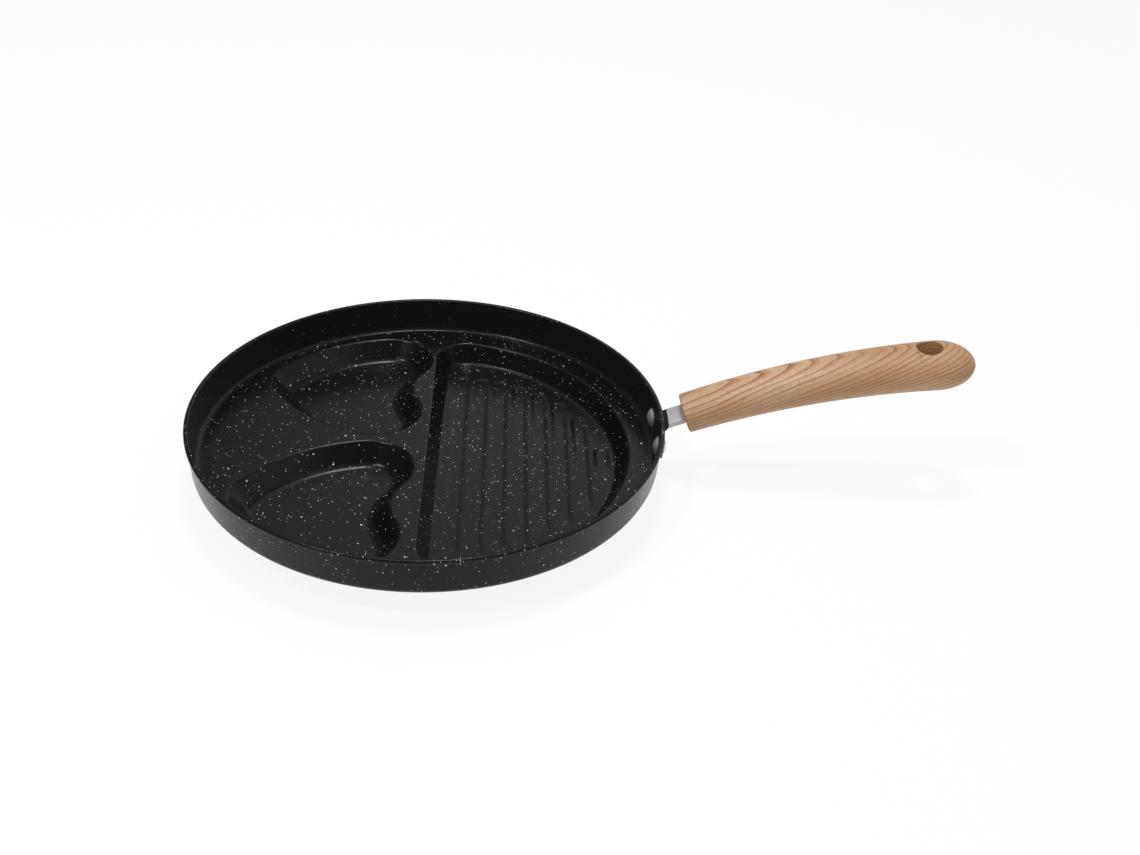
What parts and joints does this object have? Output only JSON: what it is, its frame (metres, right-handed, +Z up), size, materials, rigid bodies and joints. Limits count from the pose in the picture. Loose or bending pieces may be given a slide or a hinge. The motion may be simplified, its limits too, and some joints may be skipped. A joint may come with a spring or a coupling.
{
  "type": "divided frying pan",
  "caption": "Round coated frying pan with heart-shaped wells beside a ribbed D-shaped grill well, and an arched wooden handle with a hang hole.",
  "frame": {"origin": "on the table under the centre of the round dish, in the plane of the wells' flat undersides", "axes": "+Z up; +X from the dish's centre towards the handle's side, square to the straight divider; +Y along the divider, away from the front of the pan"},
  "size_m": [0.462, 0.28, 0.0901],
  "materials": {
    "coating": "satin dark non-stick coating with pale speckles on cast aluminium",
    "steel": "matt grey steel strip",
    "rivet_metal": "polished",
    "wood": "smooth oiled wood with orange-brown grain",
    "screw_metal": "plain steel"
  },
  "bodies": {
    "root": {"pan_body": "coating", "handle_bracket": "steel", "rear_rivet": "rivet_metal", "front_rivet": "rivet_metal", "handle": "wood", "handle_screw": "screw_metal"}
  },
  "joints": []
}
